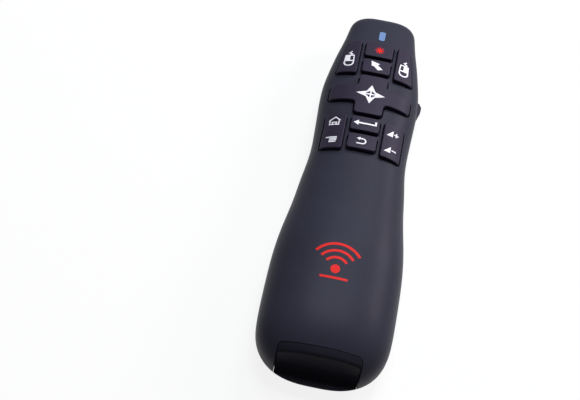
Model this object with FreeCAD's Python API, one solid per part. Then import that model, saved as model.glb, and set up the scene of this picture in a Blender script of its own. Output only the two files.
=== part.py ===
"""Wireless presentation clicker: a palm-shaped handset with raised keys, a battery door that slides
off the underside and a plug-in radio receiver that is stored in the tail. Millimetres, +Z up,
+Y towards the nose, origin on the flat underside below the middle of the handset."""
import FreeCAD
import Part
import functools
import math
import os

V = FreeCAD.Vector
UP = V(0, 0, 1)
FORWARD = V(0, 1, 0)
RIGHT = V(1, 0, 0)

# Handset
body_length = 140.0
palm_half_width = 21.7
parting_height = 9.5
crown_height = 16.5
wall = 1.8
nose_round = 7.15
nose_round_tall = 3.4
nose_slack_share = 0.02
tail_slack_share = 0.03
tail_round = 18.0
tail_round_top = 20.3
tail_round_base = 13.2
seam_gap = 0.2
seam_line = 0.12
seam_lip_height = 1.0
seam_lip_inset = 1.0
seam_lip_gap = 0.1
belly_flat = 0.25
cut_overrun = 5.0
# How near an edge has to lie to be the one that gets a fillet
pick_room = 0.1

# Shares of body_length from the middle, and what the handset measures there as shares of
# palm_half_width, crown_height and parting_height.
station_shares = (-0.50, -0.41, -0.31, -0.20, -0.145, -0.06, 0.0, 0.087, 0.16, 0.245, 0.332, 0.434, 0.50)
width_shares = (0.965, 0.985, 0.996, 0.976, 0.935, 0.852, 0.81, 0.755, 0.762, 0.788, 0.724, 0.583, 0.516)
crown_shares = (0.925, 0.96, 0.985, 0.99, 0.945, 0.85, 0.785, 0.72, 0.69, 0.655, 0.59, 0.46, 0.375)
belly_shares = (1.0, 1.0, 1.0, 1.0, 1.0, 1.0, 1.0, 1.0, 0.99, 0.93, 0.84, 0.70, 0.60)
# How square the crown's section is at each station, 2 being an ellipse
crown_powers = (2.5, 2.5, 2.5, 2.5, 2.5, 2.5, 2.5, 2.5, 2.5, 2.55, 2.75, 3.2, 3.5)
belly_power = 3.0
round_power = 2.3
tail_power = 2.5
nose_power = 3.6
section_points = 28
loft_stations = 23

# Keys, all in individual openings with a web of casing between them
key_proud = 1.7
key_gap = 0.4
key_lip = 0.55
key_floor_gap = 1.0
key_roof = 1.3
key_side = 1.1
key_corner = 0.9
key_edge_round = 0.3
crest_slope = 0.8
key_seat_gap = 0.15
key_spacing = 1.5
middle_key_half = 4.85
outer_key_inside = 6.5
outer_key_outside = 13.4
click_key_outside_front = 10.7
click_key_reach = 1.0
rocker_reach = 0.8
keys_setback = 14.4
back_key_length = 6.0
enter_key_length = 5.7
pad_half_length = 8.2
pad_half_span = 13.9
pad_wing_half = 3.2
pad_corner = 1.4
pad_seat_gap = 0.95
pointer_key_length = 6.0
laser_key_length = 6.9
stem_radius = 1.3
stem_gap = 0.05
rocker_seat_gap = 0.55
key_travel = 0.7
rocker_tilt_degrees = 3
pad_tilt_degrees = 3

# Circuit board and what it carries
board_thickness = 1.6
board_rise = 1.0
board_half = 11.6
board_front_half = 7.6
board_rear_gap = 3.0
board_front_gap = 1.0
board_corner = 2.0
sheet_thickness = 0.8
sheet_margin = 0.8
dome_radius = 2.4
dome_rise = 0.35
sheet_hole_gap = 0.4
chip_side = 7.0
chip_thickness = 1.2
chip_back = 14.0
crystal_length = 4.5
crystal_width = 2.0
crystal_gap = 2.5

# Direction pad pivot
post_radius = 1.7
cup_radius = 2.9
hub_wall = 0.8
pivot_gap = 0.08
pivot_rise = 6.8

# Indicator and laser
lens_half_width = 1.1
lens_length = 4.4
lens_front = 7.4
lens_corner = 0.7
lens_gap = 0.1
lens_proud = 0.1
lens_leg = 1.8
lens_depth = 3.2
led_side = 1.8
led_height = 0.9
led_gap = 0.25
laser_radius = 3.0
laser_length = 6.2
laser_front_gap = 0.8
laser_bore = 1.7
laser_lens_thickness = 1.0
laser_pin_side = 0.5
laser_pin_pitch = 1.4
window_radius = 2.5
window_thickness = 1.0
window_recess = 0.2
beam_radius = 2.0
cradle_wall = 1.2
cradle_length = 4.0
fit_gap = 0.1

# Power switch on the right side
switch_ahead = 6.2
knob_length = 6.4
knob_height = 2.0
knob_proud = 1.3
knob_shoulder = 0.3
knob_front_slope = 1.6
knob_rear_slope = 3.4
knob_corner = 0.5
switch_travel = 2.4
switch_gap = 0.2
switch_body_length = 8.8
switch_body_width = 3.2
switch_body_height = 1.6
switch_overhang = 1.4

# Batteries and their frame
cell_length = 44.5
cell_radius = 5.25
cell_gap = 0.3
cell_under_gap = 0.2
cell_nub_radius = 1.9
cell_nub_length = 0.8
contact_thickness = 0.4
contact_side = 8.0
spring_radius = 2.6
spring_wire = 0.25
spring_turns = 4
spring_length = 4.4
spring_gap = 0.05
frame_wall = 1.0
frame_setback = 8.0
frame_under_gap = 0.3
bay_wall_height = 3.6
bay_end_room = 1.0
ear_thickness = 1.2

# Radio receiver stored in the tail
handle_half = 13.1
handle_depth = 6.7
handle_corner = 1.3
handle_under_gap = 0.5
scoop_depth = 4.4
scoop_drop = 2.6
scoop_round = 3.4
brow_round = 1.9
receiver_half = 8.2
receiver_thickness = 5.2
receiver_length = 15.0
receiver_gap = 0.2
plug_half = 6.0
plug_thickness = 4.5
plug_length = 12.0
plug_wall = 0.4
plug_root = 3.0
plug_fit = 0.05
plug_window = 2.2
plug_window_setback = 3.0
plug_window_pitch = 5.6
tongue_side_gap = 0.3
tongue_thickness = 1.8
contact_strip = 1.1
contact_strip_length = 7.5
contact_strip_rise = 0.15
contact_pitches = (-3.5, -1.0, 1.0, 3.5)

# Battery door
door_half = 13.0
door_top = 1.9
door_rail_reach = 1.0
door_rail_width = 2.0
door_rail_rise = 0.8
door_rail_setback = 1.0
rail_cover = 1.0
door_gap = 0.15
door_end_gap = 0.2
grip_count = 5
grip_pitch = 2.0
grip_radius = 0.7
grip_depth = 0.4
grip_half = 5.5
grip_setback = 5.0

# Screws
case_screw_radius = 1.1
case_screw_head_radius = 2.0
case_screw_head_height = 1.4
case_screw_length = 11.5
palm_screw_seat = 3.9
head_screw_seat = 2.9
boss_radius = 2.7
head_boss_radius = 2.1
board_boss_radius = 1.7
boss_gap = 0.1
palm_boss_inset = 5.5
palm_boss_ahead = 32.0
head_boss_x = 7.8
board_screw_radius = 0.8
board_screw_head_radius = 1.5
board_screw_head_height = 0.9
board_screw_length = 5.0
screw_room = 0.05
screw_head_room = 0.2
screw_well_wall = 1.0
screw_land = 1.2
socket_half = 0.35
socket_reach = 1.0
socket_depth = 0.7

# Leads
lead_radius = 0.6
lead_bend = 2.0
lead_x = 6.0
lead_pad_setback = 1.8
lead_gap = 0.05

# Worked out from the sizes above
half_length = body_length / 2
nose_slack = nose_round * nose_slack_share
tail_slack = tail_round * tail_slack_share
roof_height = parting_height + crown_height
laser_key_front = half_length - keys_setback
laser_key_rear = laser_key_front - laser_key_length
pointer_key_front = laser_key_rear - key_spacing
pointer_key_rear = pointer_key_front - pointer_key_length
pad_middle = pointer_key_rear - key_spacing - pad_half_length
enter_key_front = pad_middle - pad_half_length - key_spacing
enter_key_rear = enter_key_front - enter_key_length
back_key_front = enter_key_rear - key_spacing
back_key_rear = back_key_front - back_key_length
rocker_rear = back_key_rear - rocker_reach
click_key_rear = pointer_key_rear - click_key_reach
laser_height = parting_height
laser_front = half_length - wall - laser_front_gap
laser_rear = laser_front - laser_length
board_top = parting_height + board_rise
board_base = board_top - board_thickness
board_rear = back_key_rear - board_rear_gap
board_front = laser_rear - board_front_gap
sheet_top = board_top + sheet_thickness
key_floor = sheet_top + key_floor_gap
pivot_height = board_top + pivot_rise
frame_rear = half_length - frame_setback
frame_base = door_top + door_rail_rise + frame_under_gap
cell_floor = door_top + cell_under_gap
handle_front = half_length - handle_depth
handle_base = frame_base + handle_under_gap
palm_boss_x = palm_half_width - palm_boss_inset
palm_boss_y = palm_boss_ahead - frame_rear
scoop_floor = parting_height - scoop_drop
scoop_wall = -half_length + scoop_depth
switch_middle = pad_middle + switch_ahead
click_middle_x = (outer_key_inside + outer_key_outside) / 2
rocker_middle = (enter_key_front + rocker_rear) / 2
cell_middle_z = cell_floor + cell_radius
cell_middle_x = cell_radius + cell_gap / 2
cell_rear = -frame_rear + frame_wall + contact_thickness + spring_length
cell_front = cell_rear + cell_length
bay_front = cell_front + cell_nub_length + cell_gap + contact_thickness
frame_front = bay_front + frame_wall
cell_bay_middle = (bay_front - frame_rear + frame_wall) / 2
frame_half = 2 * cell_radius + cell_gap + frame_wall
frame_top = cell_floor + 2 * cell_radius + cell_gap
bay_floor = frame_top + frame_wall
receiver_base = bay_floor + receiver_gap
plug_base = receiver_base + (receiver_thickness - plug_thickness) / 2
receiver_tip = -handle_front + receiver_length
plug_tip = receiver_tip + plug_length
lens_rear = half_length - lens_front - lens_length
door_front = frame_front - frame_wall
lower_boss_y = (enter_key_front + pad_middle - pad_wing_half) / 2
upper_boss_y = (click_key_rear + pad_middle + pad_wing_half) / 2
switch_top = board_base
switch_outside = board_half + switch_overhang
bay_end = plug_tip + bay_end_room


def smooth(stations, values, place):
    """A rounded curve through values at stations, with no overshoot between them."""
    count = len(stations)
    slopes = [(values[i + 1] - values[i]) / (stations[i + 1] - stations[i]) for i in range(count - 1)]
    tangents = [slopes[0]]
    for i in range(1, count - 1):
        same_way = slopes[i - 1] * slopes[i] > 0
        both = slopes[i - 1] + slopes[i]
        tangents.append(2 * slopes[i - 1] * slopes[i] / both if same_way else 0)
    tangents.append(slopes[-1])
    k = max(i for i in range(count - 1) if i == 0 or stations[i] <= place)
    step = stations[k + 1] - stations[k]
    t = (place - stations[k]) / step
    return (
        (1 + 2 * t) * (1 - t) ** 2 * values[k]
        + t * (1 - t) ** 2 * step * tangents[k]
        + t * t * (3 - 2 * t) * values[k + 1]
        + t * t * (t - 1) * step * tangents[k + 1]
    )


def rounding(place, end, reach, power):
    """Share left of a size near an end that is rounded over a length of reach."""
    inside = reach - abs(end - place)
    if inside <= 0:
        return 1
    return max(0, 1 - (inside / reach) ** power) ** (1 / power)


def outline_at(y):
    """Half width, crown rise and belly drop of the handset at y."""
    place = y / body_length
    half = palm_half_width * smooth(station_shares, width_shares, place)
    crown = crown_height * smooth(station_shares, crown_shares, place)
    belly = (parting_height + belly_flat) * smooth(station_shares, belly_shares, place)
    if y > 0:
        end = half_length + nose_slack
        half *= rounding(y, end, nose_round, nose_power)
        crown *= rounding(y, end, nose_round_tall, nose_power)
        belly *= rounding(y, end, nose_round_tall, nose_power)
    else:
        end = -half_length - tail_slack
        half *= rounding(y, end, tail_round, tail_power)
        crown *= rounding(y, end, tail_round_top, round_power)
        belly *= rounding(y, end, tail_round_base, round_power)
    return half, crown, belly


def crown_power(y):
    return smooth(station_shares, crown_powers, y / body_length)


def round_section(half, crown, belly, y=0):
    """Points round the section at y, as x and height over the parting plane."""
    points = []
    for i in range(section_points):
        a = 2 * math.pi * i / section_points
        c, s = math.cos(a), math.sin(a)
        power = crown_power(y) if s >= 0 else belly_power
        rise = crown if s >= 0 else belly
        x = half * math.copysign(abs(c) ** (2 / power), c)
        points.append((x, rise * math.copysign(abs(s) ** (2 / power), s)))
    return points


def section_steps():
    """How far round the palm's section each point lies. All sections share these steps."""
    points = round_section(palm_half_width, crown_height, parting_height)
    steps = [0]
    for i in range(section_points):
        steps.append(steps[-1] + math.dist(points[i], points[(i + 1) % section_points]))
    return steps


@functools.cache
def handset(side=0, top=0, base=0, ends=0):
    """The handset's outer form, or one drawn in from it by side, top, base and ends."""
    steps = section_steps()
    shrink = (half_length - ends) / half_length
    wires = []
    for i in range(loft_stations):
        y = -half_length * math.cos(math.pi * i / (loft_stations - 1))
        half, crown, belly = outline_at(y)
        points = round_section(half - side, crown - top, belly - base, y)
        curve = Part.BSplineCurve()
        places = [V(x, y * shrink, parting_height + z) for x, z in points]
        curve.interpolate(Points=places, PeriodicFlag=True, Parameters=steps)
        wires.append(Part.Wire(curve.toShape()))
    return Part.makeLoft(wires, True, False).common(slab(base, 2 * roof_height))


@functools.cache
def over_keys(side=0, top=0, base=0, ends=0):
    """The same, only where the keys are."""
    zone = box((-palm_half_width, rocker_rear - key_spacing, key_floor - cut_overrun),
               (palm_half_width, laser_key_front + key_spacing, roof_height + 2 * key_proud))
    return handset(side, top, base, ends).common(zone)


def skin(inset):
    """The handset drawn in by inset on all sides."""
    return handset(inset, inset, inset, inset)


def top_at(x, y, drop=0):
    """Height of the handset's top at x and y, less drop."""
    half, crown, belly = outline_at(y)
    power = crown_power(y)
    return parting_height + (crown - drop) * (1 - abs(x / half) ** power) ** (1 / power)


def both_sides(shape):
    """shape and its mirror image across the middle plane."""
    return [shape, shape.mirror(V(), RIGHT)]


def box(low, high):
    return Part.makeBox(high[0] - low[0], high[1] - low[1], high[2] - low[2], V(*low))


def slab(low, high):
    """Everything between two heights."""
    return box((-body_length, -body_length, low), (body_length, body_length, high))


def rounded(corners, radius):
    """Flat face at height zero with the given corners, each rounded to radius."""
    edges = []
    starts = []
    count = len(corners)
    for i in range(count):
        before = V(*corners[i - 1], 0)
        here = V(*corners[i], 0)
        after = V(*corners[(i + 1) % count], 0)
        a = (before - here).normalize()
        b = (after - here).normalize()
        half_angle = a.getAngle(b) / 2
        reach = radius / math.tan(half_angle)
        middle = (a + b).normalize()
        centre = here + middle * (radius / math.sin(half_angle))
        starts.append((here + a * reach, centre - middle * radius, here + b * reach))
    for i in range(count):
        first, through, last = starts[i]
        edges.append(Part.Arc(first, through, last).toShape())
        edges.append(Part.LineSegment(last, starts[(i + 1) % count][0]).toShape())
    return Part.Face(Part.Wire(edges))


def prism(face, grow, low, high):
    """face, grown by grow all round, stood up from height low to height high."""
    flat = face.makeOffset2D(grow) if grow else face.copy()
    flat.translate(UP * low)
    return flat.extrude(UP * (high - low))


def rectangle(x0, x1, y0, y1):
    return ((x0, y0), (x1, y0), (x1, y1), (x0, y1))


def mirrored(corners):
    return tuple((-x, y) for x, y in reversed(corners))


def disc(radius, length, place, direction=UP):
    return Part.makeCylinder(radius, length, place, direction)


def key_outlines():
    """Plan face of each key."""
    mid = middle_key_half
    click = (
        (outer_key_inside, click_key_rear),
        (outer_key_outside, click_key_rear),
        (click_key_outside_front, laser_key_front),
        (outer_key_inside, laser_key_front),
    )
    rocker = rectangle(outer_key_inside, outer_key_outside, rocker_rear, enter_key_front)
    m, w, s, p = mid, pad_wing_half, pad_half_span, pad_half_length
    cross = ((-m, -p), (m, -p), (m, -w), (s, -w), (s, w), (m, w), (m, p), (-m, p), (-m, w), (-s, w), (-s, -w),
             (-m, -w))
    pad = tuple((x, y + pad_middle) for x, y in cross)
    plans = {
        "laser_key": rectangle(-mid, mid, laser_key_rear, laser_key_front),
        "pointer_key": rectangle(-mid, mid, pointer_key_rear, pointer_key_front),
        "left_click_key": mirrored(click),
        "right_click_key": click,
        "direction_pad": pad,
        "page_rocker": mirrored(rocker),
        "volume_rocker": rocker,
        "enter_key": rectangle(-mid, mid, enter_key_rear, enter_key_front),
        "back_key": rectangle(-mid, mid, back_key_rear, back_key_front),
    }
    corners = {name: pad_corner if name == "direction_pad" else key_corner for name in plans}
    return {name: rounded(plan, corners[name]) for name, plan in plans.items()}


def stem_places():
    """Where each key presses the board, and how far the stem there travels."""
    front_row = (laser_key_rear + laser_key_front) / 2
    click_y = (click_key_rear + laser_key_front) / 2
    click_x = (outer_key_inside + click_key_outside_front) / 2 + key_lip
    lower = (back_key_rear + back_key_front) / 2
    upper = (enter_key_rear + enter_key_front) / 2
    push = key_travel
    arm = pad_half_length - 2 * key_side
    span = pad_half_span - 2 * key_side - key_lip
    arm_drop = tilt_drop(arm, pad_tilt_degrees)
    span_drop = tilt_drop(span, pad_tilt_degrees)
    rock = tilt_drop(max(upper - rocker_middle, rocker_middle - lower), rocker_tilt_degrees)
    return {
        "laser_key": [(0, front_row, push)],
        "pointer_key": [(0, (pointer_key_rear + pointer_key_front) / 2, push)],
        "left_click_key": [(-click_x, click_y, push)],
        "right_click_key": [(click_x, click_y, push)],
        "direction_pad": [(0, pad_middle + arm, arm_drop), (0, pad_middle - arm, arm_drop),
                          (span, pad_middle, span_drop), (-span, pad_middle, span_drop)],
        "page_rocker": [(-click_middle_x, lower, rock), (-click_middle_x, upper, rock)],
        "volume_rocker": [(click_middle_x, lower, rock), (click_middle_x, upper, rock)],
        "enter_key": [(0, upper, push)],
        "back_key": [(0, lower, push)],
    }


def tilt_drop(reach, degrees):
    """How far a stem at reach from a pivot goes down when its key tilts."""
    return (reach + stem_radius) * math.sin(math.radians(degrees))


def key_cap(face, places, seat_gap):
    """A hollow cap with a lip inside the casing and a stem over each contact dome."""
    top = roof_height + key_proud
    cap = prism(face, 0, key_floor, top).common(over_keys(0, -key_proud))
    crest = [e for e in cap.Edges if is_crest(e)]
    cap = cap.makeFillet(key_edge_round, crest)
    inset = wall + seat_gap
    lip = prism(face, key_lip, key_floor, top).common(over_keys(inset, inset, inset, inset))
    pocket = prism(face, -key_side, key_floor - cut_overrun, top).common(over_keys(0, key_roof - key_proud))
    stems = []
    for x, y, travel in places:
        tip = board_top + dome_rise + travel + stem_gap
        stems.append(disc(stem_radius, roof_height - tip, V(x, y, tip)))
    stems = Part.makeCompound(stems).common(over_keys(0, key_roof / 2 - key_proud)).Solids
    return cap.fuse(lip).cut(pocket).fuse(stems)


def is_crest(edge):
    """Whether an edge runs round the top of a key cap."""
    low = min(v.Z for v in edge.Vertexes)
    level = abs(edge.tangentAt(edge.FirstParameter).z) < crest_slope
    return level and low > key_floor + key_edge_round


def pad_cap(face, places):
    """The direction pad: a key cap with a hub that tilts on the pivot cup."""
    pivot = V(0, pad_middle, pivot_height)
    cap = key_cap(face, places, pad_seat_gap)
    hub_radius = cup_radius + hub_wall
    hub_top = top_at(hub_radius, pad_middle, key_roof / 2 - key_proud)
    hub = disc(hub_radius, hub_top - pivot_height + hub_wall, pivot - UP * hub_wall)
    socket = cup_radius + pivot_gap
    bore = disc(socket, cut_overrun, pivot - UP * cut_overrun)
    return cap.fuse(hub).cut([Part.makeSphere(socket, pivot), bore])


def pivot_post():
    """Rubber post on the board with a ball at its top."""
    ball = Part.makeSphere(post_radius, V(0, pad_middle, pivot_height))
    return ball.fuse(disc(post_radius, pivot_height - board_top, V(0, pad_middle, board_top)))


def pivot_cup():
    pivot = V(0, pad_middle, pivot_height)
    shell = Part.makeSphere(cup_radius, pivot).cut(Part.makeSphere(post_radius + pivot_gap, pivot))
    return shell.common(slab(pivot_height, roof_height))


def tail_face():
    """Plan of the receiver's handle, open past the tail's end."""
    back = -half_length - cut_overrun
    return rounded(rectangle(-handle_half, handle_half, back, -handle_front), handle_corner)


def boss_places():
    """Each screw boss: x, y, radius, the screw's seat, its lower half's top and its upper half's foot."""
    over_ear = parting_height + ear_thickness + boss_gap
    pairs = ((palm_boss_x, palm_boss_y, boss_radius, palm_screw_seat, parting_height - boss_gap, over_ear),
             (head_boss_x, lower_boss_y, head_boss_radius, head_screw_seat, board_base - boss_gap, board_top))
    return [(side * x, *rest) for x, *rest in pairs for side in (-1, 1)]


def board_screw_places():
    return [(-head_boss_x, upper_boss_y), (head_boss_x, upper_boss_y)]


def top_shell(faces):
    """Upper half of the casing, with an opening for each key and bosses for the screws."""
    inner = skin(wall)
    step_top = parting_height + seam_lip_height + seam_lip_gap
    step = skin(seam_lip_inset - seam_lip_gap).common(slab(0, step_top))
    shell = handset().common(slab(parting_height + seam_line, 2 * roof_height)).cut([inner, step])
    bosses = []
    holes = [prism(face, key_gap, key_floor, roof_height) for face in faces.values()]
    for x, y, radius, seat, top, foot in boss_places():
        bosses.append(disc(radius, roof_height, V(x, y, foot)))
        holes.append(disc(case_screw_radius + screw_room, case_screw_length + fit_gap, V(x, y, seat)))
    for x, y in board_screw_places():
        bosses.append(disc(board_boss_radius, roof_height, V(x, y, board_top)))
        holes.append(disc(board_screw_radius + screw_room, board_screw_length + fit_gap, V(x, y, board_base)))
    shell = shell.fuse(inside_casing(bosses))
    holes.append(prism(lens_face(), lens_gap, key_floor, roof_height))
    holes.append(prism(tail_face(), seam_gap, handle_base, roof_height))
    side = receiver_half + receiver_gap
    holes.append(box((-side, -half_length, receiver_base - receiver_gap),
                     (side, -frame_rear, receiver_base + receiver_thickness + receiver_gap)))
    return shell.cut(holes + window_bores())


def inside_casing(solids):
    """The solids, cut off within the casing's wall."""
    return Part.makeCompound(solids).common(skin(wall / 2)).Solids


def bottom_shell():
    """Lower half of the casing, with the battery opening, door channels and laser cradle."""
    inner = skin(wall)
    rail_out = door_half + door_rail_reach + door_gap
    cover = door_top + door_rail_rise + door_gap + rail_cover
    lip_base = parting_height - seam_lip_height
    lip = skin(seam_lip_inset).common(slab(lip_base, parting_height + seam_lip_height))
    bosses = []
    well = case_screw_head_radius + screw_head_room + screw_well_wall
    for x, y, radius, seat, top, foot in boss_places():
        bosses.append(disc(radius, top, V(x, y, 0)).fuse(disc(well, seat + screw_land, V(x, y, 0))))
    bosses.append(box((-laser_radius - cradle_wall, laser_rear + cradle_wall, 0),
                      (laser_radius + cradle_wall, laser_rear + cradle_wall + cradle_length, laser_height)))
    block = box((door_half, -frame_rear, 0), (rail_out + rail_cover, door_front + rail_cover, cover))
    shell = handset().common(slab(0, parting_height)).cut(inner)
    shell = shell.fuse([lip.cut(inner)] + inside_casing(bosses + both_sides(block)))
    return shell.cut(bottom_cuts(rail_out))


def bottom_cuts(rail_out):
    """What is taken out of the lower half."""
    rear = -half_length - cut_overrun
    cuts = [laser_form(fit_gap)]
    head_room = case_screw_head_radius + screw_head_room
    for x, y, radius, seat, top, foot in boss_places():
        cuts.append(disc(case_screw_radius + fit_gap, case_screw_length, V(x, y, 0)))
        cuts.append(disc(head_room, seat + cut_overrun, V(x, y, -cut_overrun)))
    cuts.append(box((-door_half - door_gap, rear, -cut_overrun),
                    (door_half + door_gap, door_front + door_end_gap, frame_base)))
    cuts.append(box((-door_half - door_gap, rear, 0), (door_half + door_gap, -frame_rear, handle_base)))
    rail_front = door_front - door_rail_setback + door_end_gap
    cuts.append(box((-rail_out, rear, door_top - door_gap),
                    (rail_out, rail_front, door_top + door_rail_rise + door_gap)))
    cuts.append(prism(tail_face(), seam_gap, -cut_overrun, roof_height))
    slot_rear = switch_middle - knob_length / 2 - switch_gap
    slot_front = slot_rear + knob_length + switch_travel + 2 * switch_gap
    slot_floor = switch_top - knob_height + fit_gap - switch_gap
    cuts.append(box((switch_outside, slot_rear, slot_floor), (palm_half_width, slot_front, roof_height)))
    return cuts + window_bores()


def battery_door():
    """Plate that slides off towards the tail on two rails, with thumb grooves."""
    rear = -half_length
    plate = box((-door_half, rear, 0), (door_half, door_front, door_top))
    tail = box((-door_half, rear, 0), (door_half, -frame_rear - door_end_gap, handle_base - seam_gap))
    rail = box((door_half - door_rail_width + door_rail_reach, -frame_rear, door_top - fit_gap),
               (door_half + door_rail_reach, door_front - door_rail_setback, door_top + door_rail_rise))
    door = plate.fuse(tail).common(handset()).fuse(both_sides(rail))
    grooves = []
    for i in range(grip_count):
        y = door_front - grip_setback - i * grip_pitch
        grooves.append(disc(grip_radius, 2 * grip_half, V(-grip_half, y, grip_depth - grip_radius), RIGHT))
    return door.cut(grooves)


def battery_frame():
    base = box((-frame_half, -frame_rear, frame_base), (frame_half, frame_front, bay_floor))
    cells = box((-frame_half + frame_wall, -frame_rear + frame_wall, frame_base - cut_overrun),
                (frame_half - frame_wall, bay_front, frame_top))
    side = receiver_half + receiver_gap
    cheek = box((side, -frame_rear, bay_floor), (side + frame_wall, bay_end, bay_floor + bay_wall_height))
    foot = V(palm_boss_x, palm_boss_y, parting_height)
    ear = box((frame_half, palm_boss_y - boss_radius, parting_height),
              (palm_boss_x, palm_boss_y + boss_radius, parting_height + ear_thickness))
    lug = ear.fuse(disc(boss_radius, ear_thickness, foot))
    lug = lug.cut(disc(case_screw_radius + fit_gap, ear_thickness, foot))
    frame = base.cut(cells).fuse(both_sides(cheek) + both_sides(lug))
    return frame.common(skin(wall + fit_gap))


def turned(shape):
    """shape as it lies for the other battery, which is loaded the other way round."""
    copy = shape.copy()
    copy.rotate(V(0, cell_bay_middle, 0), UP, 180)
    return copy


def cell():
    body = disc(cell_radius, cell_length, V(-cell_middle_x, cell_rear, cell_middle_z), FORWARD)
    nub = disc(cell_nub_radius, cell_nub_length, V(-cell_middle_x, cell_front, cell_middle_z), FORWARD)
    return body.fuse(nub)


def contact_plate(y):
    half = contact_side / 2
    return box((-cell_middle_x - half, y, cell_middle_z - half),
               (-cell_middle_x + half, y + contact_thickness, cell_middle_z + half))


def contact_spring():
    """One unbroken coil between its plate and the battery."""
    y = -frame_rear + frame_wall + contact_thickness + spring_wire + spring_gap
    rise = (spring_length - 2 * spring_wire - 2 * spring_gap) / spring_turns
    start = V(-cell_middle_x, y, cell_middle_z)
    quarters = 4 * spring_turns
    edges = []
    for i in range(quarters):
        edges += biarc(coil_point(start, rise, i / 4), coil_point(start, rise, (i + 1) / 4))
    place, tangent = coil_point(start, rise, 0)
    ring = Part.Wire(Part.makeCircle(spring_wire, place, tangent))
    return Part.Wire(edges).makePipeShell([ring], True, False)


def coil_point(start, rise, turns):
    """A coil's place and direction after some turns about an axis along Y."""
    a = 2 * math.pi * turns
    place = start + V(spring_radius * math.cos(a), rise * turns, spring_radius * math.sin(a))
    run = 2 * math.pi * spring_radius
    return place, V(-run * math.sin(a), rise, run * math.cos(a)).normalize()


def biarc(first, last):
    """Two arcs that leave first and reach last in their directions."""
    (p, s), (q, t) = first, last
    v, both = q - p, s + t
    spread = 2 * (1 - s.dot(t))
    leg = (math.sqrt(v.dot(both) ** 2 + spread * v.dot(v)) - v.dot(both)) / spread
    a, b = p + s * leg, q - t * leg
    joint = (a + b) / 2
    return [tangent_arc(p, a, joint), tangent_arc(joint, b, q)]


def tangent_arc(start, corner, end):
    """The arc from start to end that touches the legs to corner."""
    middle = (start + end) / 2
    half_chord = start.distanceToPoint(end) / 2
    angle = math.acos(half_chord / start.distanceToPoint(corner))
    out = (corner - middle).normalize()
    return Part.Arc(start, middle + out * (half_chord * math.tan(angle / 2)), end).toShape()


def lead(side):
    """Insulated wire from a battery contact to the board."""
    x = side * lead_x
    start = V(x, frame_front + lead_gap, board_top + lead_bend)
    end = V(x, back_key_rear - lead_pad_setback, board_top)
    corner = V(x, end.y - lead_bend, start.z)
    half_way = lead_bend * math.sin(math.pi / 4)
    middle = V(x, end.y - lead_bend + half_way, board_top + half_way)
    path = Part.Wire([Part.LineSegment(start, corner).toShape(), Part.Arc(corner, middle, end).toShape()])
    ring = Part.Wire(Part.makeCircle(lead_radius, start, FORWARD))
    return path.makePipeShell([ring], True, True)


def board_face(margin=0):
    front = board_front - margin
    rear = board_rear + margin
    taper_start = upper_boss_y + board_boss_radius + key_spacing
    half = board_half - margin
    tip = board_front_half - margin
    corners = ((-half, rear), (half, rear), (half, taper_start), (tip, front), (-tip, front),
               (-half, taper_start))
    return rounded(corners, board_corner)


def circuit_board():
    places = [(x, y, board_screw_radius) for x, y in board_screw_places()]
    places += [(side * head_boss_x, lower_boss_y, case_screw_radius) for side in (-1, 1)]
    holes = [disc(radius + fit_gap, board_thickness, V(x, y, board_base)) for x, y, radius in places]
    return prism(board_face(), 0, board_base, board_top).cut(holes)


def keypad_sheet(places):
    """Silicone sheet on the board, open at each dome, boss and the pivot post."""
    sheet = prism(board_face(sheet_margin), 0, board_top, sheet_top)
    zone = box((-board_half, back_key_rear, board_top), (board_half, laser_key_front, sheet_top))
    holes = [(x, y, dome_radius) for group in places.values() for x, y, travel in group]
    holes += [(x, y, board_boss_radius) for x, y in board_screw_places()]
    holes += [(side * head_boss_x, lower_boss_y, head_boss_radius) for side in (-1, 1)]
    holes += [(0, pad_middle, post_radius)]
    cuts = [disc(radius + sheet_hole_gap, sheet_thickness, V(x, y, board_top)) for x, y, radius in holes]
    return sheet.common(zone).cut(cuts)


def dome(x, y):
    """Metal snap dome: a shallow cap of a sphere."""
    sphere_radius = (dome_radius ** 2 + dome_rise ** 2) / (2 * dome_rise)
    ball = Part.makeSphere(sphere_radius, V(x, y, board_top + dome_rise - sphere_radius))
    return ball.common(disc(dome_radius, dome_rise, V(x, y, board_top)))


def lens_face():
    plan = rectangle(-lens_half_width, lens_half_width, lens_rear, lens_rear + lens_length)
    return rounded(plan, lens_corner)


def indicator_lens():
    half, crown, belly = outline_at(lens_rear)
    foot = parting_height + crown - lens_depth
    head = prism(lens_face(), 0, foot, roof_height).common(handset(0, -lens_proud))
    tip = board_top + led_height + led_gap
    leg = box((-led_side / 2, lens_rear, tip), (led_side / 2, lens_rear + lens_leg, foot + lens_depth / 4))
    return head.fuse(leg)


def indicator_led():
    y = lens_rear + lens_leg / 2
    half = led_side / 2
    return box((-half, y - half, board_top), (half, y + half, board_top + led_height))


def laser_form(gap=0):
    return disc(laser_radius + gap, laser_length, V(0, laser_rear, laser_height), FORWARD)


def laser_module():
    mouth = V(0, laser_front, laser_height)
    return laser_form().cut(disc(laser_bore, laser_length / 2, mouth - FORWARD * laser_length / 2, FORWARD))


def laser_lens():
    y = laser_front - 2 * laser_lens_thickness
    return disc(laser_bore - fit_gap / 2, laser_lens_thickness, V(0, y, laser_height), FORWARD)


def laser_pins():
    """Two wires from the board's end to the laser's back."""
    half = laser_pin_side / 2
    low, high = laser_height - half, laser_height + half
    pins = []
    for side in (-1, 1):
        x = side * laser_pin_pitch
        pins.append(box((x - half, board_front, low), (x + half, laser_rear, high)))
    return pins


def window_bores():
    """The seat of the laser's window in the nose and the hole behind it."""
    front = half_length
    seat = disc(window_radius + fit_gap, window_thickness + window_recess + cut_overrun,
                V(0, front - window_thickness - window_recess, laser_height), FORWARD)
    return [seat, disc(beam_radius, 2 * wall, V(0, front - 2 * wall, laser_height), FORWARD)]


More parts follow.
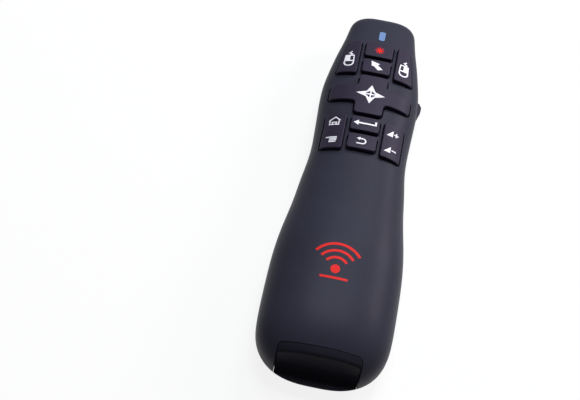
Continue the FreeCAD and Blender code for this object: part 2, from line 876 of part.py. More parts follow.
def laser_window():
    y = half_length - window_thickness - window_recess
    return disc(window_radius, window_thickness, V(0, y, laser_height), FORWARD)


def switch_body():
    inside = switch_outside - switch_body_width
    return box((inside, switch_middle - switch_body_length / 2, switch_top - switch_body_height),
               (switch_outside, switch_middle + switch_body_length / 2, switch_top))


def power_knob():
    """Slider that stands out of the right side at the seam, with a hump for the thumb."""
    half, crown, belly = outline_at(switch_middle)
    rear = switch_middle - knob_length / 2
    front = rear + knob_length
    inside = switch_outside + fit_gap
    shoulder = half + knob_shoulder
    crest = half + knob_proud
    plan = ((inside, rear), (shoulder, rear), (crest, rear + knob_rear_slope),
            (crest, front - knob_front_slope), (shoulder, front), (inside, front))
    top = switch_top + fit_gap
    return prism(rounded(plan, knob_corner), 0, top - knob_height, top)


def is_along(edge, y, z):
    """Whether an edge crosses the middle plane at y and z."""
    low, high = edge.BoundBox.XMin, edge.BoundBox.XMax
    return low < 0 < high and edge.distToShape(Part.Vertex(0, y, z))[0] < pick_room


def receiver_housing():
    """The receiver's moulding: a handle with a finger scoop that closes the tail, and the plug's body."""
    handle = prism(tail_face(), 0, handle_base, roof_height).common(handset())
    scoop = box((-palm_half_width, -half_length - cut_overrun, scoop_floor),
                (palm_half_width, scoop_wall, roof_height))
    scoop = scoop.makeFillet(scoop_round, [e for e in scoop.Edges if is_along(e, scoop_wall, scoop_floor)])
    handle = handle.cut(scoop)
    brow = top_at(0, scoop_wall)
    handle = handle.makeFillet(brow_round, [e for e in handle.Edges if is_along(e, scoop_wall, brow)])
    body = box((-receiver_half, -handle_front - seam_gap, receiver_base),
               (receiver_half, receiver_tip, receiver_base + receiver_thickness))
    pocket = box((-plug_half - plug_fit, receiver_tip - plug_root, plug_base - plug_fit),
                 (plug_half + plug_fit, receiver_tip, plug_base + plug_thickness + plug_fit))
    return handle.fuse(body).cut(pocket)


def plug_shell():
    """Folded steel shell of the plug, with its four square windows."""
    rear = receiver_tip - plug_root
    shell = box((-plug_half, rear, plug_base), (plug_half, plug_tip, plug_base + plug_thickness))
    shell = shell.cut(box((-plug_half + plug_wall, rear, plug_base + plug_wall),
                          (plug_half - plug_wall, plug_tip, plug_base + plug_thickness - plug_wall)))
    front = plug_tip - plug_window_setback
    inside = (plug_window_pitch - plug_window) / 2
    window = box((inside, front - plug_window, 0), (inside + plug_window, front, roof_height))
    return shell.cut(both_sides(window))


def plug_tongue():
    rear = receiver_tip - plug_root
    half = plug_half - plug_wall - tongue_side_gap / 2
    low = plug_base + plug_wall
    return box((-half, rear, low), (half, plug_tip - plug_wall, low + tongue_thickness))


def plug_contacts():
    """Four gilt strips on the tongue."""
    top = plug_base + plug_wall + tongue_thickness
    front = plug_tip - 2 * plug_wall
    strips = []
    for x in contact_pitches:
        strips.append(box((x - contact_strip / 2, front - contact_strip_length, top),
                          (x + contact_strip / 2, front, top + contact_strip_rise)))
    return strips


def case_screw(x, y, seat):
    head = disc(case_screw_head_radius, case_screw_head_height, V(x, y, seat - case_screw_head_height))
    screw = head.fuse(disc(case_screw_radius, case_screw_length, V(x, y, seat)))
    return screw.cut(cross_recess(x, y, seat - case_screw_head_height))


def board_screw(x, y):
    seat = V(x, y, board_base - board_screw_head_height)
    head = disc(board_screw_head_radius, board_screw_head_height, seat)
    return head.fuse(disc(board_screw_radius, board_screw_length, V(x, y, board_base)))


def cross_recess(x, y, face):
    """Cross in a screw's head."""
    top = face + socket_depth
    one = box((x - socket_reach, y - socket_half, face), (x + socket_reach, y + socket_half, top))
    two = box((x - socket_half, y - socket_reach, face), (x + socket_half, y + socket_reach, top))
    return one.fuse(two)


def chip():
    y = board_rear + chip_back
    half = chip_side / 2
    return box((-half, y - half, board_base - chip_thickness), (half, y + half, board_base))


def crystal():
    y = board_rear + chip_back + chip_side / 2 + crystal_gap
    half = crystal_length / 2
    return box((-half, y, board_base - crystal_width), (half, y + crystal_width, board_base))


def nodes():
    """Every sub-part by name."""
    faces = key_outlines()
    places = stem_places()
    made = {
        "top_shell": top_shell(faces),
        "bottom_shell": bottom_shell(),
        "battery_door": battery_door(),
        "battery_frame": battery_frame(),
        "battery_left": cell(),
        "battery_right": turned(cell()),
        "circuit_board": circuit_board(),
        "keypad_sheet": keypad_sheet(places),
        "pad_pivot_post": pivot_post(),
        "pad_pivot_cup": pivot_cup(),
        "indicator_lens": indicator_lens(),
        "indicator_led": indicator_led(),
        "laser_module": laser_module(),
        "laser_lens": laser_lens(),
        "laser_window": laser_window(),
        "slide_switch_body": switch_body(),
        "power_switch_knob": power_knob(),
        "controller_chip": chip(),
        "crystal_can": crystal(),
        "receiver_housing": receiver_housing(),
        "plug_shell": plug_shell(),
        "plug_tongue": plug_tongue(),
        "lead_left": lead(-1),
        "lead_right": lead(1),
    }
    made["direction_pad"] = pad_cap(faces["direction_pad"], places["direction_pad"])
    for name in ("laser_key", "pointer_key", "enter_key", "back_key"):
        made[name] = key_cap(faces[name], places[name], key_seat_gap)
    right = key_cap(faces["right_click_key"], places["right_click_key"], key_seat_gap)
    made["left_click_key"], made["right_click_key"] = right.mirror(V(), RIGHT), right
    right = key_cap(faces["volume_rocker"], places["volume_rocker"], rocker_seat_gap)
    made["page_rocker"], made["volume_rocker"] = right.mirror(V(), RIGHT), right
    rear_plate = contact_plate(-frame_rear + frame_wall)
    front_plate = contact_plate(bay_front - contact_thickness)
    groups = {
        "battery_contact_plates": [rear_plate, front_plate, turned(rear_plate), turned(front_plate)],
        "battery_springs": [contact_spring(), turned(contact_spring())],
        "snap_domes": [dome(x, y) for group in places.values() for x, y, travel in group],
        "laser_pins": laser_pins(),
        "plug_contacts": plug_contacts(),
        "case_screws": [case_screw(x, y, seat) for x, y, radius, seat, top, foot in boss_places()],
        "board_screws": [board_screw(x, y) for x, y in board_screw_places()],
    }
    made.update({name: Part.makeCompound(solids) for name, solids in groups.items()})
    return made


def main():
    os.makedirs("parts", exist_ok=True)
    for name, shape in nodes().items():
        if len(shape.Solids) > 1:
            shape = Part.makeCompound(shape.Solids)
        shape.exportStep(f"parts/{name}.step")
        print(name, len(shape.Solids), shape.isValid(), round(shape.Volume, 1))


if __name__ == "__main__":
    main()
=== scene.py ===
"""A wireless presentation clicker, dressed and lit: a soft-touch palm handset with raised printed keys,
a tilting pad, a laser nose and a radio receiver stored in the tail. Metres, +Z up, +Y to the nose."""
import math

import bpy
from mathutils import Matrix, Vector


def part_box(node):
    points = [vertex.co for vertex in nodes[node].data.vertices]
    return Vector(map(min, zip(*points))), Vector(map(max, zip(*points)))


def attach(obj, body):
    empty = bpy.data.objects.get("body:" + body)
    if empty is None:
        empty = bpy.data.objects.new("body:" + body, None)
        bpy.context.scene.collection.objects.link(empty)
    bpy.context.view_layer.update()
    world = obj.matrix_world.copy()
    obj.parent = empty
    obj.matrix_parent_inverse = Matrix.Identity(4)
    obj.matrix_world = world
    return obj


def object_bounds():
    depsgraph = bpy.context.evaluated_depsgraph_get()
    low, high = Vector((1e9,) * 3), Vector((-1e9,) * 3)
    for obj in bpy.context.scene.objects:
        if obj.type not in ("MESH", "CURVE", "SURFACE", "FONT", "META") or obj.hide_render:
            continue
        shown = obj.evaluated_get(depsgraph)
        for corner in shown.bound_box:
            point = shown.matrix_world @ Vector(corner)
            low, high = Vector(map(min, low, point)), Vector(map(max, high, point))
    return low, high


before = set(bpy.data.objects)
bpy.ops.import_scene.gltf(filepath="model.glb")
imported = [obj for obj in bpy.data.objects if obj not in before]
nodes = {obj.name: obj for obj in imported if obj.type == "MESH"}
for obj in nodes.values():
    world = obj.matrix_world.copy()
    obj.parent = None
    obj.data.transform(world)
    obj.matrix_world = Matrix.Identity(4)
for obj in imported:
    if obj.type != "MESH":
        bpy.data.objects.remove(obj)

cad_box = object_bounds()
MM = 0.001


# Casing. Two ABS halves, sprayed with a soft-touch polyurethane coat that takes the moulding's
# shine away and leaves a fine, even tooth. The battery door gets the same coat.
def linear(hex_colour):
    """sRGB hex to linear RGBA."""
    parts = [int(hex_colour[i:i + 2], 16) / 255 for i in (1, 3, 5)]
    return [p / 12.92 if p <= 0.04045 else ((p + 0.055) / 1.055) ** 2.4 for p in parts] + [1.0]


def add(tree, kind, settings=None, inputs=None):
    """A node with its settings and its inputs, which are values or other nodes' outputs."""
    node = tree.nodes.new(kind)
    for key, value in (settings or {}).items():
        setattr(node, key, value)
    for key, value in (inputs or {}).items():
        if isinstance(value, bpy.types.NodeSocket):
            tree.links.new(value, node.inputs[key])
        else:
            node.inputs[key].default_value = value
    return node


def blank(name):
    """A new material's node tree with only its output."""
    material = bpy.data.materials.new(name)
    material.use_nodes = True
    tree = material.node_tree
    tree.nodes.clear()
    return material, tree, add(tree, "ShaderNodeOutputMaterial")


def dress(material, *names):
    """Puts a material on CAD nodes."""
    for name in names:
        nodes[name].data.materials.clear()
        nodes[name].data.materials.append(material)


def speckle(tree, size, detail):
    """Noise fixed to the piece, 0 to 1, with grains about as wide as the size."""
    place = add(tree, "ShaderNodeTexCoord")
    return add(tree, "ShaderNodeTexNoise", None,
               {"Vector": place.outputs["Object"], "Scale": 1 / size, "Detail": detail}).outputs["Fac"]


def spread(tree, value, low, high):
    """A value from 0 to 1, stretched between two others."""
    return add(tree, "ShaderNodeMapRange", None,
               {"Value": value, "To Min": low, "To Max": high}).outputs["Result"]


def between(tree, share, start, end):
    """A colour between two sRGB hex colours."""
    return add(tree, "ShaderNodeMix", {"data_type": "RGBA"},
               {0: share, 6: linear(start), 7: linear(end)}).outputs[2]


def soft_edge(tree, radius):
    """The normal of a piece whose sharp edges are rounded to a radius."""
    return add(tree, "ShaderNodeBevel", {"samples": 4}, {"Radius": radius}).outputs["Normal"]


def relief(tree, height, strength, depth, normal=None):
    """A bump from a height, laid over a normal where one is given."""
    inputs = {"Height": height, "Strength": strength, "Distance": depth}
    if normal is not None:
        inputs["Normal"] = normal
    return add(tree, "ShaderNodeBump", None, inputs).outputs["Normal"]


def surface(tree, out, inputs):
    """The material's one surface shader, wired to its output."""
    shader = add(tree, "ShaderNodeBsdfPrincipled", None, inputs)
    tree.links.new(shader.outputs["BSDF"], out.inputs["Surface"])


def coat(name, coat_dark, coat_light, shine):
    """A sprayed matt coat: hardly any gloss face on, a pale sheen where it turns away."""
    tooth = 0.25 * MM      # the real tooth is near 0.05 mm; drawn coarser so that it shows
    cloud = 14 * MM        # slow change of tone, as handling leaves it
    edge_radius = 0.22 * MM
    material, tree, out = blank(name)
    clouds = speckle(tree, cloud, 2.0)
    surface(tree, out, {
        "Base Color": between(tree, clouds, coat_dark, coat_light),
        "Roughness": spread(tree, clouds, 0.40, 0.48),
        "IOR": 1.5, "Specular IOR Level": shine, "Sheen Weight": 0.01, "Sheen Roughness": 0.4,
        "Normal": relief(tree, speckle(tree, tooth, 3.0), 0.22, 0.02 * MM, soft_edge(tree, edge_radius))})
    return material


dress(coat("soft_touch_polyurethane", "#2b2a35", "#333441", 0.07),
      "top_shell", "bottom_shell", "battery_door")


# Receiver. Its handle closes the tail with a scoop for the finger. It is one ABS moulding with the
# body of the receiver, sprayed with a thinner coat that leaves it duller and darker than the casing.
dress(coat("thin_matt_coat_on_abs", "#27262f", "#2f2e39", 0.02), "receiver_housing")


# Keys. Spark-finished black ABS caps with a faint violet cast, each in its own opening, with softly
# rounded rims. The power slide's knob is the same moulding.
def key_abs():
    """Moulded ABS with an even spark-eroded grain."""
    key_dark, key_light = "#211b2b", "#2d2639"
    grain_size = 0.3 * MM
    wear_size = 6 * MM
    edge_radius = 0.12 * MM
    material, tree, out = blank("key_spark_grain_abs")
    wear = speckle(tree, wear_size, 2.0)
    surface(tree, out, {
        "Base Color": between(tree, wear, key_dark, key_light),
        "Roughness": spread(tree, wear, 0.42, 0.55),
        "IOR": 1.53, "Specular IOR Level": 0.12,
        "Normal": relief(tree, speckle(tree, grain_size, 4.0), 0.3, 0.02 * MM, soft_edge(tree, edge_radius))})
    return material


dress(key_abs(), "laser_key", "pointer_key", "left_click_key", "right_click_key", "direction_pad",
      "page_rocker", "volume_rocker", "enter_key", "back_key", "power_switch_knob")


# Key symbols. Pad-printed ink, a few hundredths of a millimetre thick, laid on the keys' curved tops:
# plain pictograms, white for the keys and red for the laser. Outlines are in millimetres about their
# own middle, and each print's place is that middle in the CAD frame, also in millimetres.
def toned(tree, colour, factor):
    """An sRGB hex colour made lighter and darker by a factor."""
    return add(tree, "ShaderNodeHueSaturation", None,
               {"Color": linear(colour), "Value": factor}).outputs["Color"]


def printing_ink(name, colour):
    """Matt two-part ink with slightly uneven cover."""
    patch = 0.5 * MM
    material, tree, out = blank(name)
    cover = spread(tree, speckle(tree, patch, 3.0), 0.92, 1.05)
    surface(tree, out, {"Base Color": toned(tree, colour, cover), "Roughness": 0.55, "IOR": 1.5,
                        "Specular IOR Level": 0.15})
    return material


def drape_tree():
    """Lays a flat print on the carrier below it and gives it the ink's thickness."""
    tree = bpy.data.node_groups.new("lay_print_on_surface", "GeometryNodeTree")
    for name, kind in (("Geometry", "Geometry"), ("Carrier", "Object"), ("Ink", "Material"),
                       ("Thickness", "Float"), ("Lift", "Float")):
        tree.interface.new_socket(name, in_out="INPUT", socket_type="NodeSocket" + kind)
    tree.interface.new_socket("Geometry", in_out="OUTPUT", socket_type="NodeSocketGeometry")
    given = add(tree, "NodeGroupInput")
    carrier = add(tree, "GeometryNodeObjectInfo", None, {"Object": given.outputs["Carrier"]})
    place = add(tree, "GeometryNodeInputPosition")
    ray = add(tree, "GeometryNodeRaycast", {"data_type": "FLOAT_VECTOR"},
              {"Target Geometry": carrier.outputs["Geometry"], "Source Position": place.outputs[0],
               "Ray Direction": (0, 0, -1), "Ray Length": 1.0})
    rise = add(tree, "ShaderNodeCombineXYZ", None, {"Z": given.outputs["Lift"]})
    landed = add(tree, "ShaderNodeVectorMath", {"operation": "ADD"},
                 {0: ray.outputs["Hit Position"], 1: rise.outputs["Vector"]})
    laid = add(tree, "GeometryNodeSetPosition", None,
               {"Geometry": given.outputs["Geometry"], "Position": landed.outputs["Vector"]})
    top = add(tree, "GeometryNodeExtrudeMesh", None,
              {"Mesh": laid.outputs["Geometry"], "Offset": (0, 0, 1),
               "Offset Scale": given.outputs["Thickness"], "Individual": False})
    under = add(tree, "GeometryNodeFlipFaces", None, {"Mesh": laid.outputs["Geometry"]})
    both = add(tree, "GeometryNodeJoinGeometry")
    tree.links.new(top.outputs["Mesh"], both.inputs["Geometry"])
    tree.links.new(under.outputs["Mesh"], both.inputs["Geometry"])
    closed = add(tree, "GeometryNodeMergeByDistance", None,
                 {"Geometry": both.outputs["Geometry"], "Distance": 0.001 * MM})
    real = add(tree, "GeometryNodeRealizeInstances", None, {"Geometry": closed.outputs["Geometry"]})
    inked = add(tree, "GeometryNodeSetMaterial", None,
                {"Geometry": real.outputs["Geometry"], "Material": given.outputs["Ink"]})
    add(tree, "NodeGroupOutput", None, {"Geometry": inked.outputs["Geometry"]})
    return tree


lay_print = drape_tree()


def flat_mesh(name, loops, centre):
    """A flat mesh of closed outlines, above the casing; one outline inside another is a hole."""
    above = 5 * MM
    curve = bpy.data.curves.new(name, "CURVE")
    curve.dimensions = "2D"
    curve.fill_mode = "BOTH"
    for loop in loops:
        spline = curve.splines.new("POLY")
        spline.points.add(len(loop) - 1)
        spline.use_cyclic_u = True
        for point, (x, y) in zip(spline.points, loop):
            point.co = ((x + centre[0]) * MM, (y + centre[1]) * MM, 0, 1)
    source = bpy.data.objects.new(name + "_outline", curve)
    bpy.context.collection.objects.link(source)
    made = bpy.data.meshes.new_from_object(source.evaluated_get(bpy.context.evaluated_depsgraph_get()))
    bpy.data.objects.remove(source)
    made.transform(Matrix.Translation((0, 0, cad_box[1][2] + above)))
    return made


def printed(name, loops, centre, carrier, ink, body, detail=3):
    """One printed symbol laid on its carrier, a CAD node, and riding on that node's body.

    Each step of detail halves the print's facets, so that it follows the carrier's curve.
    """
    thickness, lift = 0.03 * MM, 0.004 * MM
    piece = bpy.data.objects.new(name, flat_mesh(name + "_flat", loops, centre))
    bpy.context.collection.objects.link(piece)
    finer = piece.modifiers.new("finer", "SUBSURF")
    finer.subdivision_type = "SIMPLE"
    finer.levels = finer.render_levels = detail
    lay = piece.modifiers.new("lay", "NODES")
    lay.node_group = lay_print
    sockets = {s.name: s.identifier for s in lay_print.interface.items_tree if s.in_out == "INPUT"}
    given = {"Carrier": nodes[carrier], "Ink": ink, "Thickness": thickness, "Lift": lift}
    for socket, value in given.items():
        lay[sockets[socket]] = value
    done = bpy.data.meshes.new_from_object(piece.evaluated_get(bpy.context.evaluated_depsgraph_get()))
    piece.modifiers.clear()
    piece.data = done
    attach(piece, body)


def box_loop(x0, x1, y0, y1):
    """The outline of a rectangle."""
    return [(x0, y0), (x1, y0), (x1, y1), (x0, y1)]


def arc(cx, cy, rx, ry, start, end, steps=16):
    """Points round part of an ellipse, in degrees."""
    angles = [math.radians(start + (end - start) * i / steps) for i in range(steps + 1)]
    return [(cx + rx * math.cos(a), cy + ry * math.sin(a)) for a in angles]


def band(cx, cy, radius, width, start, end):
    """A stroke along an arc."""
    outer = arc(cx, cy, radius + width / 2, radius + width / 2, start, end)
    inner = arc(cx, cy, radius - width / 2, radius - width / 2, end, start)
    return outer + inner


def stroke(points, width):
    """A stroke of even width along straight runs."""
    least_share = 0.5      # keeps a sharp corner from reaching out too far
    left, right = [], []
    for i, (x, y) in enumerate(points):
        before = Vector(points[max(i - 1, 0)])
        after = Vector(points[min(i + 1, len(points) - 1)])
        run_in = (Vector((x, y)) - before) if i else after - before
        run_out = (after - Vector((x, y))) if i < len(points) - 1 else run_in
        run_in.normalize()
        run_out.normalize()
        across = Vector((-(run_in.y + run_out.y), run_in.x + run_out.x)).normalized()
        reach = width / 2 / max(least_share, across.dot(Vector((-run_in.y, run_in.x))))
        left.append((x + across.x * reach, y + across.y * reach))
        right.append((x - across.x * reach, y - across.y * reach))
    return left + right[::-1]


white_ink = printing_ink("white_pad_printing_ink", "#f7f5fa")
red_ink = printing_ink("red_pad_printing_ink", "#e3211b")
line_width, cord_width = 0.4, 0.42

# A mouse from above. The palm's window and the other button's are left open in its body, so that the
# pressed button shows filled.
window_left = [(-1.3, 0.2), (-0.22, 0.2), (-0.22, 2.2), (-1.2, 2.2)]
window_right = [(-x, y) for x, y in reversed(window_left)]
window_palm = [(1.3, -0.3), (-1.3, -0.3)] + arc(0, -0.9, 1.28, 1.15, 180, 360, 12)
mouse_body = [(-1.55, 2.65), (1.55, 2.65)] + arc(0, -0.95, 1.75, 1.6, 360, 180, 14)
mouse_cord = stroke([(0.2, 2.6), (0.75, 3.1), (-0.25, 3.6), (0.55, 4.4)], cord_width)
for side, place, open_window in (("left", (-9.7, 45.45), window_right),
                                 ("right", (9.5, 45.15), window_left)):
    key = side + "_click_key"
    printed(side + "_click_symbol", [mouse_body, open_window, window_palm], place, key, white_ink, key)
    printed(side + "_click_cord", [mouse_cord], place, key, white_ink, key)

# A broad arrow for the pointer.
pointer = [[(-2.2, 2.0), (0.9, 1.1), (0.1, 0.5), (2.1, -1.25), (0.4, -1.8), (-1.0, -0.35), (-1.9, -0.1)]]
printed("pointer_symbol", pointer, (0.15, 44.3), "pointer_key", white_ink, "pointer_key")

# A spot with eight rays round it.
ray_reach, ray_width, ray_count = (0.85, 1.55), 0.38, 8
burst = [arc(0, 0, 0.8, 0.8, 0, 345, 23)]
for turn in range(ray_count):
    angle = math.radians(360 / ray_count * turn)
    ends = [(reach * math.cos(angle), reach * math.sin(angle)) for reach in ray_reach]
    burst.append(stroke(ends, ray_width))
printed("laser_symbol", burst, (0.1, 51.8), "laser_key", red_ink, "laser_key")

# A four-pointed star with a cross left in its middle by four holes.
tip_side, tip_end, waist_x, waist_y = 5.0, 3.9, 1.55, 1.15
star_hole = [(0.24, 0.24), (1.85, 0.24), (0.24, 1.5)]
star = [[(tip_side, 0), (waist_x, waist_y), (0, tip_end), (-waist_x, waist_y), (-tip_side, 0),
         (-waist_x, -waist_y), (0, -tip_end), (waist_x, -waist_y)]]
for across, along in ((1, 1), (-1, 1), (-1, -1), (1, -1)):
    star.append([(x * across, y * along) for x, y in star_hole])
printed("direction_symbol", star, (-0.2, 31.5), "direction_pad", white_ink, "pad")

# A house, and four lines of text for the page.
roof = [(-2.0, 0.15), (0.1, 1.8), (1.95, 0.3), (1.7, 0), (0.1, 1.25), (-1.75, -0.2)]
walls = stroke([(-1.5, 0.0), (-1.5, -1.5), (1.4, -1.5), (1.4, 0.0)], line_width)
house_door = stroke([(-0.65, -1.4), (-0.65, -0.6), (0.6, -0.6), (0.6, -1.4)], line_width)
for part, outline in (("roof", roof), ("walls", walls), ("door", house_door)):
    printed("home_symbol_" + part, [outline], (-10.2, 18.9), "page_rocker", white_ink, "page")
text_lines = [box_loop(-1.9, 1.6, 0.75, 1.25), box_loop(-0.75, 1.6, 0.12, 0.58),
              box_loop(-0.75, 1.6, -0.48, -0.05), box_loop(-0.75, 1.4, -1.1, -0.65)]
printed("page_symbol", text_lines, (-10.1, 11.1), "page_rocker", white_ink, "page")

# A bent arrow for enter, and one that turns round for back.
bent_arrow = [[(-3.9, 0), (-2.2, 1.05), (-2.2, 0.28), (3.3, 0.28), (3.3, 1.35), (3.9, 1.35), (3.9, -0.28),
               (-2.2, -0.28), (-2.2, -1.05)]]
printed("enter_symbol", bent_arrow, (-0.1, 19.0), "enter_key", white_ink, "enter_key")
turn_back = [arc(0.35, 0, 1.3, 1.2, -90, 90)
             + [(-0.55, 1.2), (-0.55, 1.65), (-1.75, 0.98), (-0.55, 0.3), (-0.55, 0.75)]
             + arc(0.35, 0, 0.85, 0.75, 90, -90) + [(-1.6, -0.75), (-1.6, -1.2)]]
printed("back_symbol", turn_back, (-0.2, 11.6), "back_key", white_ink, "back_key")

# A sloping wedge with a plus or a minus is the usual sign for louder and quieter.
wedge = [(-2.0, -1.15), (0.2, -1.15), (0.2, 1.25)]
plus = [(0.55, 0.2), (1.15, 0.2), (1.15, 0.8), (1.55, 0.8), (1.55, 0.2), (2.15, 0.2),
        (2.15, -0.2), (1.55, -0.2), (1.55, -0.8), (1.15, -0.8), (1.15, -0.2), (0.55, -0.2)]
minus = box_loop(0.55, 2.15, -0.2, 0.2)
printed("louder_symbol", [wedge, plus], (9.6, 17.9), "volume_rocker", white_ink, "volume")
printed("quieter_symbol", [wedge, minus], (9.6, 11.4), "volume_rocker", white_ink, "volume")


# Palm mark. One red print on the palm, in the same ink as the laser's symbol: a plain radio-wave
# pictogram, a dot with three arcs over a short bar.
dot_y, dot_radius, wave_width = -3.6, 1.5, 0.85
waves = [arc(0, dot_y, dot_radius, dot_radius, 0, 350, 35)]
for wave_radius in (4.0, 6.4, 8.8):
    waves.append(band(0, dot_y, wave_radius, wave_width, 38, 142))
waves.append(box_loop(-4.4, 4.4, -7.1, -6.3))
printed("wireless_mark", waves, (-0.6, -34.5), "top_shell", red_ink, "casing", detail=4)


# Indicator and laser. A clear light-pipe lens with a blue cast over the lamp on the board, and a
# dark red acrylic window let into the nose in front of the brass laser module.
def tinted_plastic(name, colour, clearness, roughness):
    """Polished tinted polycarbonate or acrylic with faint flow waves."""
    wave_size = 2 * MM
    material, tree, out = blank(name)
    surface(tree, out, {"Base Color": linear(colour), "Roughness": roughness, "IOR": 1.58,
                        "Specular IOR Level": 0.3, "Transmission Weight": clearness,
                        "Normal": relief(tree, speckle(tree, wave_size, 1.0), 0.15, 0.03 * MM)})
    return material


dress(tinted_plastic("light_pipe_polycarbonate", "#7194c8", 0.25, 0.28), "indicator_lens", "indicator_led")
dress(tinted_plastic("laser_window_acrylic", "#5c0a10", 0.15, 0.12), "laser_window", "laser_lens")


# Metal pieces. Turned brass for the laser's barrel, gold flash on pins and contacts, nickel-plated
# steel for the plug and battery contacts, and zinc-plated screws.
def metal(name, colour, roughness, brushing, along):
    """Bare or plated metal with drawing or turning marks along one axis."""
    squeeze = 0.04         # the marks are 25 times as long as they are wide
    material, tree, out = blank(name)
    place = add(tree, "ShaderNodeTexCoord").outputs["Object"]
    stretch = [squeeze if axis == along else 1.0 for axis in range(3)]
    lay = add(tree, "ShaderNodeMapping", None, {"Vector": place, "Scale": stretch})
    marks = add(tree, "ShaderNodeTexNoise", None,
                {"Vector": lay.outputs["Vector"], "Scale": 1 / brushing, "Detail": 3.0}).outputs["Fac"]
    surface(tree, out, {"Base Color": linear(colour), "Metallic": 1.0,
                        "Roughness": spread(tree, marks, roughness - 0.08, roughness + 0.1),
                        "Normal": relief(tree, marks, 0.2, 0.01 * MM)})
    return material


dress(metal("turned_brass", "#d9b46a", 0.28, 0.1 * MM, 1), "laser_module")
dress(metal("gold_flash", "#f0c878", 0.22, 0.2 * MM, 1), "laser_pins", "plug_contacts")
dress(metal("nickel_plated_steel", "#7c7c7c", 0.55, 0.12 * MM, 1), "plug_shell", "battery_contact_plates",
      "battery_springs", "snap_domes", "crystal_can")
dress(metal("black_zinc_screws", "#4b4b50", 0.35, 0.1 * MM, 2), "case_screws", "board_screws")


# Inner mouldings. The battery frame and the pad's cup are plain grey polypropylene, the plug's tongue
# and the slide switch black nylon, the chip moulded epoxy; the keypad sheet and pad post are silicone.
def plain_moulding(name, colour, roughness, grain_size, softness=0.0):
    """Unpainted moulded plastic or silicone with its tool's grain."""
    material, tree, out = blank(name)
    grain = speckle(tree, grain_size, 3.0)
    surface(tree, out, {"Base Color": toned(tree, colour, spread(tree, grain, 0.9, 1.08)),
                        "Roughness": roughness, "IOR": 1.49, "Transmission Weight": softness,
                        "Normal": relief(tree, grain, 0.25, 0.03 * MM)})
    return material


dress(plain_moulding("grey_polypropylene", "#4a4b4e", 0.5, 0.4 * MM), "battery_frame", "pad_pivot_cup")
dress(plain_moulding("black_nylon", "#1c1c1e", 0.45, 0.3 * MM), "slide_switch_body", "plug_tongue")
dress(plain_moulding("moulded_epoxy", "#17171a", 0.6, 0.15 * MM), "controller_chip")
dress(plain_moulding("translucent_silicone", "#9a9ba0", 0.4, 0.5 * MM, 0.3), "keypad_sheet", "pad_pivot_post")
dress(plain_moulding("red_lead_pvc", "#a81f18", 0.4, 0.5 * MM), "lead_left")
dress(plain_moulding("black_lead_pvc", "#18181a", 0.4, 0.5 * MM), "lead_right")


# Circuit board. Glass-epoxy laminate under green solder mask, with copper tracks that show through
# the mask as slightly raised, paler lines.
def solder_mask():
    """Green mask over laminate, with the tracks as paler ridges."""
    track_pitch, track_width = 1.3 * MM, 0.12 * MM
    material, tree, out = blank("solder_mask_on_laminate")
    place = add(tree, "ShaderNodeTexCoord").outputs["Object"]
    tracks = add(tree, "ShaderNodeTexBrick", {"offset": 0.5},
                 {"Vector": place, "Scale": 1.0, "Brick Width": 4 * track_pitch, "Row Height": track_pitch,
                  "Mortar Size": track_width, "Mortar Smooth": 0.2, "Color1": linear("#0f4a2c"),
                  "Color2": linear("#0d4329"), "Mortar": linear("#2c7a4c")})
    surface(tree, out, {"Base Color": tracks.outputs["Color"], "Roughness": 0.32, "IOR": 1.55,
                        "Normal": relief(tree, tracks.outputs["Fac"], 0.3, 0.03 * MM)})
    return material


dress(solder_mask(), "circuit_board")


# Batteries. Two AAA cells, steel cans in a shrunk plastic jacket: a plain blue sleeve with a pale
# band. They lie turned end for end in the frame.
def cell_jacket():
    """Shrunk plastic sleeve in blue, with one pale band across it."""
    sleeve_blue, band_grey = "#23435f", "#c3c9cf"
    band_start, band_end = 0.72, 0.80      # shares of the cell's length
    crease_size = 1.5 * MM
    material, tree, out = blank("shrunk_cell_jacket")
    place = add(tree, "ShaderNodeTexCoord").outputs["Object"]
    along = add(tree, "ShaderNodeSeparateXYZ", None, {"Vector": place})
    low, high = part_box("battery_left")
    share = add(tree, "ShaderNodeMapRange", None,
                {"Value": along.outputs["Y"], "From Min": low.y, "From Max": high.y})
    bands = add(tree, "ShaderNodeValToRGB", None, {"Fac": share.outputs["Result"]})
    ramp = bands.color_ramp
    ramp.interpolation = "CONSTANT"
    ramp.elements[0].color = linear(sleeve_blue)
    ramp.elements[1].position = band_start
    ramp.elements[1].color = linear(band_grey)
    ramp.elements.new(band_end).color = linear(sleeve_blue)
    surface(tree, out, {"Base Color": bands.outputs["Color"], "Roughness": 0.25, "IOR": 1.5,
                        "Normal": relief(tree, speckle(tree, crease_size, 2.0), 0.15, 0.05 * MM)})
    return material


dress(cell_jacket(), "battery_left", "battery_right")


# Table. A plain white sheet that the clicker lies on, bright to the camera and to reflections, with
# a soft shadow kept under the handset.
def mirror_and_camera_rays(tree):
    """1 for rays from the camera, off a gloss or through clear plastic, and 0 for soft light."""
    rays = add(tree, "ShaderNodeLightPath").outputs
    seen = add(tree, "ShaderNodeMath", {"operation": "MAXIMUM"},
               {0: rays["Is Camera Ray"], 1: rays["Is Glossy Ray"]})
    return add(tree, "ShaderNodeMath", {"operation": "MAXIMUM"},
               {0: seen.outputs["Value"], 1: rays["Is Transmission Ray"]}).outputs["Value"]


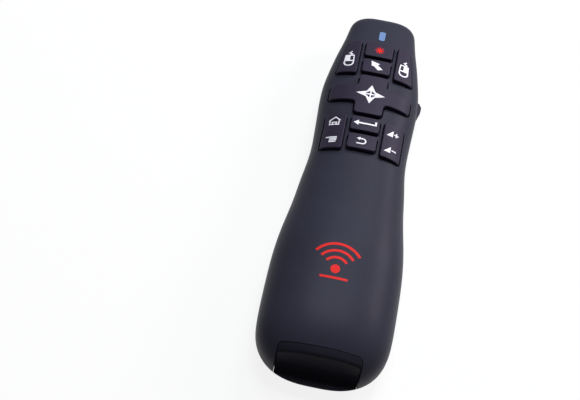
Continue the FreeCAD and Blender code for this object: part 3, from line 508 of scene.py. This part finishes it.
def white_sheet():
    """White paper that glows for the camera and sends only a weak light up to the handset."""
    glow_share = 0.86
    material, tree, out = blank("white_paper_sheet")
    shown = mirror_and_camera_rays(tree)
    share = add(tree, "ShaderNodeMath", {"operation": "MULTIPLY"}, {0: shown, 1: glow_share})
    paper = add(tree, "ShaderNodeBsdfDiffuse", None, {"Color": between(tree, shown, "#7e7e7e", "#fbfbfb")})
    bright = add(tree, "ShaderNodeEmission", None, {"Color": (1, 1, 1, 1), "Strength": 1.0})
    mix = add(tree, "ShaderNodeMixShader", None,
              {"Fac": share.outputs["Value"], 1: paper.outputs["BSDF"], 2: bright.outputs["Emission"]})
    tree.links.new(mix.outputs["Shader"], out.inputs["Surface"])
    return material


sheet_half, sheet_gap = 1.5, 0.02 * MM
corners = box_loop(-sheet_half, sheet_half, -sheet_half, sheet_half)
sheet = bpy.data.meshes.new("table_sheet")
sheet.from_pydata([(x, y, 0) for x, y in corners], [], [(0, 1, 2, 3)])
sheet.transform(Matrix.Translation((0, 0, cad_box[0][2] - sheet_gap)))
table = bpy.data.objects.new("table_sheet", sheet)
table.data.materials.append(white_sheet())
bpy.context.collection.objects.link(table)


# Room. An even pale room, white where the camera looks, so that the dark coat shows only its own
# tone and a soft rim.
def pale_room():
    """A world that is white to the camera and nearly dark as a source of soft light."""
    soft_level, shown_level = 0.03, 1.0
    world = bpy.data.worlds.new("pale_room")
    world.use_nodes = True
    tree = world.node_tree
    tree.nodes.clear()
    level = spread(tree, mirror_and_camera_rays(tree), soft_level, shown_level)
    glow = add(tree, "ShaderNodeBackground", None, {"Strength": level})
    add(tree, "ShaderNodeOutputWorld", None, {"Surface": glow.outputs["Background"]})
    return world


bpy.context.scene.world = pale_room()
bpy.context.scene.view_settings.view_transform = "Standard"


# Lamps. One soft box overhead and a little towards the nose, one low on the right beyond the nose, and
# a small one beyond the nose that the upper palm mirrors. The left flank and every wall that faces the
# tail are in shade.
def soft_box(name, place, side, watts, tint):
    """A square soft box that faces the middle of the handset."""
    light = bpy.data.lights.new(name, "AREA")
    light.shape = "SQUARE"
    light.size = side
    light.energy = watts
    light.color = linear(tint)[:3]
    lamp = bpy.data.objects.new(name, light)
    lamp.location = place
    lamp.rotation_euler = (-Vector(place)).to_track_quat("-Z", "Y").to_euler()
    bpy.context.collection.objects.link(lamp)


soft_box("overhead_box", (0.0, 0.28, 0.96), 0.35, 5.8, "#f2f9ff")
soft_box("low_right_box", (0.70, 0.50, 0.50), 0.35, 6.6, "#fff8fc")
soft_box("palm_gloss_box", (0.20, 0.68, 0.72), 0.25, 3.4, "#f4f5ff")


# Camera. It stands over the tail, 60 degrees above the table and slightly rolled, as the photograph
# was taken.
azimuth, elevation, roll = (math.radians(a) for a in (4.15, 60.0, 7.83))
distance = 420 * MM
aim = Vector((-19.53, -8.42, 10.36)) * MM
focal_px, picture_width_px = 1267.2, 580
film_width = 36      # mm, as the lens's focal length is
back = Vector((math.sin(azimuth) * math.cos(elevation), -math.cos(azimuth) * math.cos(elevation),
               math.sin(elevation)))
level_right = (-back).cross(Vector((0, 0, 1))).normalized()
level_up = level_right.cross(-back)
right = level_right * math.cos(roll) + level_up * math.sin(roll)
up = level_up * math.cos(roll) - level_right * math.sin(roll)
lens = bpy.data.cameras.new("camera")
lens.sensor_width = film_width
lens.lens = focal_px * film_width / picture_width_px
camera = bpy.data.objects.new("camera", lens)
bpy.context.collection.objects.link(camera)
camera.matrix_world = Matrix((right, up, back)).transposed().to_4x4()
camera.location = aim + back * distance
bpy.context.scene.camera = camera
